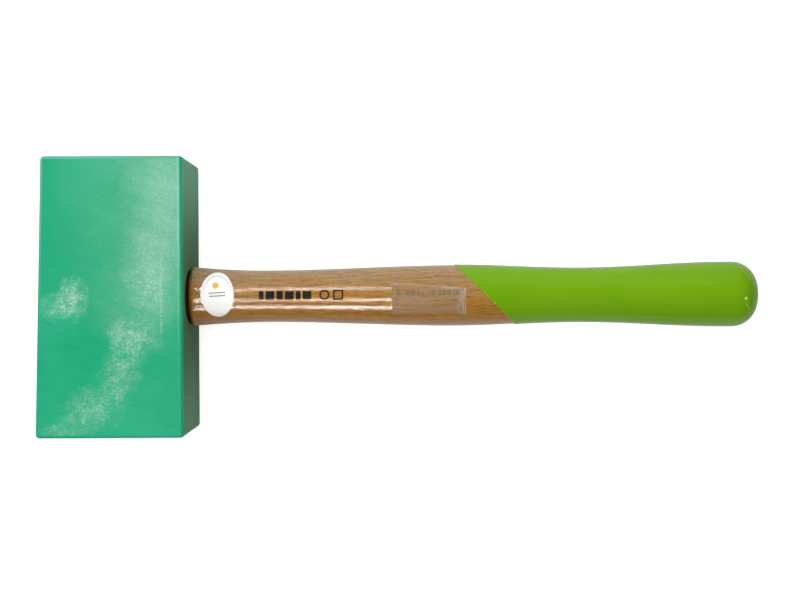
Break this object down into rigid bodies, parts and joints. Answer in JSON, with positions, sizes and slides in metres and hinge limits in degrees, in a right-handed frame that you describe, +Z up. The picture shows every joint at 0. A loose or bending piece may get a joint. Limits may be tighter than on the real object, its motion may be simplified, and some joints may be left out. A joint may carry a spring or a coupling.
{
  "type": "carving mallet",
  "caption": "Mallet with a rectangular plastic block head, wedged on a turned wooden handle with a flared neck, a swelling middle and a lacquer-dipped grip with a rounded knob.",
  "frame": {"origin": "centre of the head's lower side, the flat face that the mallet lies on", "axes": "+X along the handle from the head to the grip, +Y along the striking direction, +Z up, away from the surface that it lies on"},
  "size_m": [0.3659, 0.14, 0.06],
  "materials": {
    "head_plastic": "satin green polyethylene, planed, with pale hazy scuffs on its sides",
    "handle_wood": "straight-grained hickory under clear gloss varnish, bare end grain at the tenon",
    "wedge_wood": "bare pale beech, sawn",
    "wedge_steel": "mill-finish steel, hammer-marked on its end",
    "grip_lacquer": "dipped apple-green lacquer, glossy and even",
    "label_paper": "white paper with a faint grey ring and a small printed mark",
    "label_film": "clear matt film, slightly hazy, with rows of faint printed dashes"
  },
  "bodies": {
    "root": {"head": "head_plastic", "handle": "handle_wood", "wood_wedge": "wedge_wood", "steel_wedge_1": "wedge_steel", "steel_wedge_2": "wedge_steel", "grip_coat": "grip_lacquer", "oval_label": "label_paper", "film_label": "label_film"}
  },
  "joints": []
}
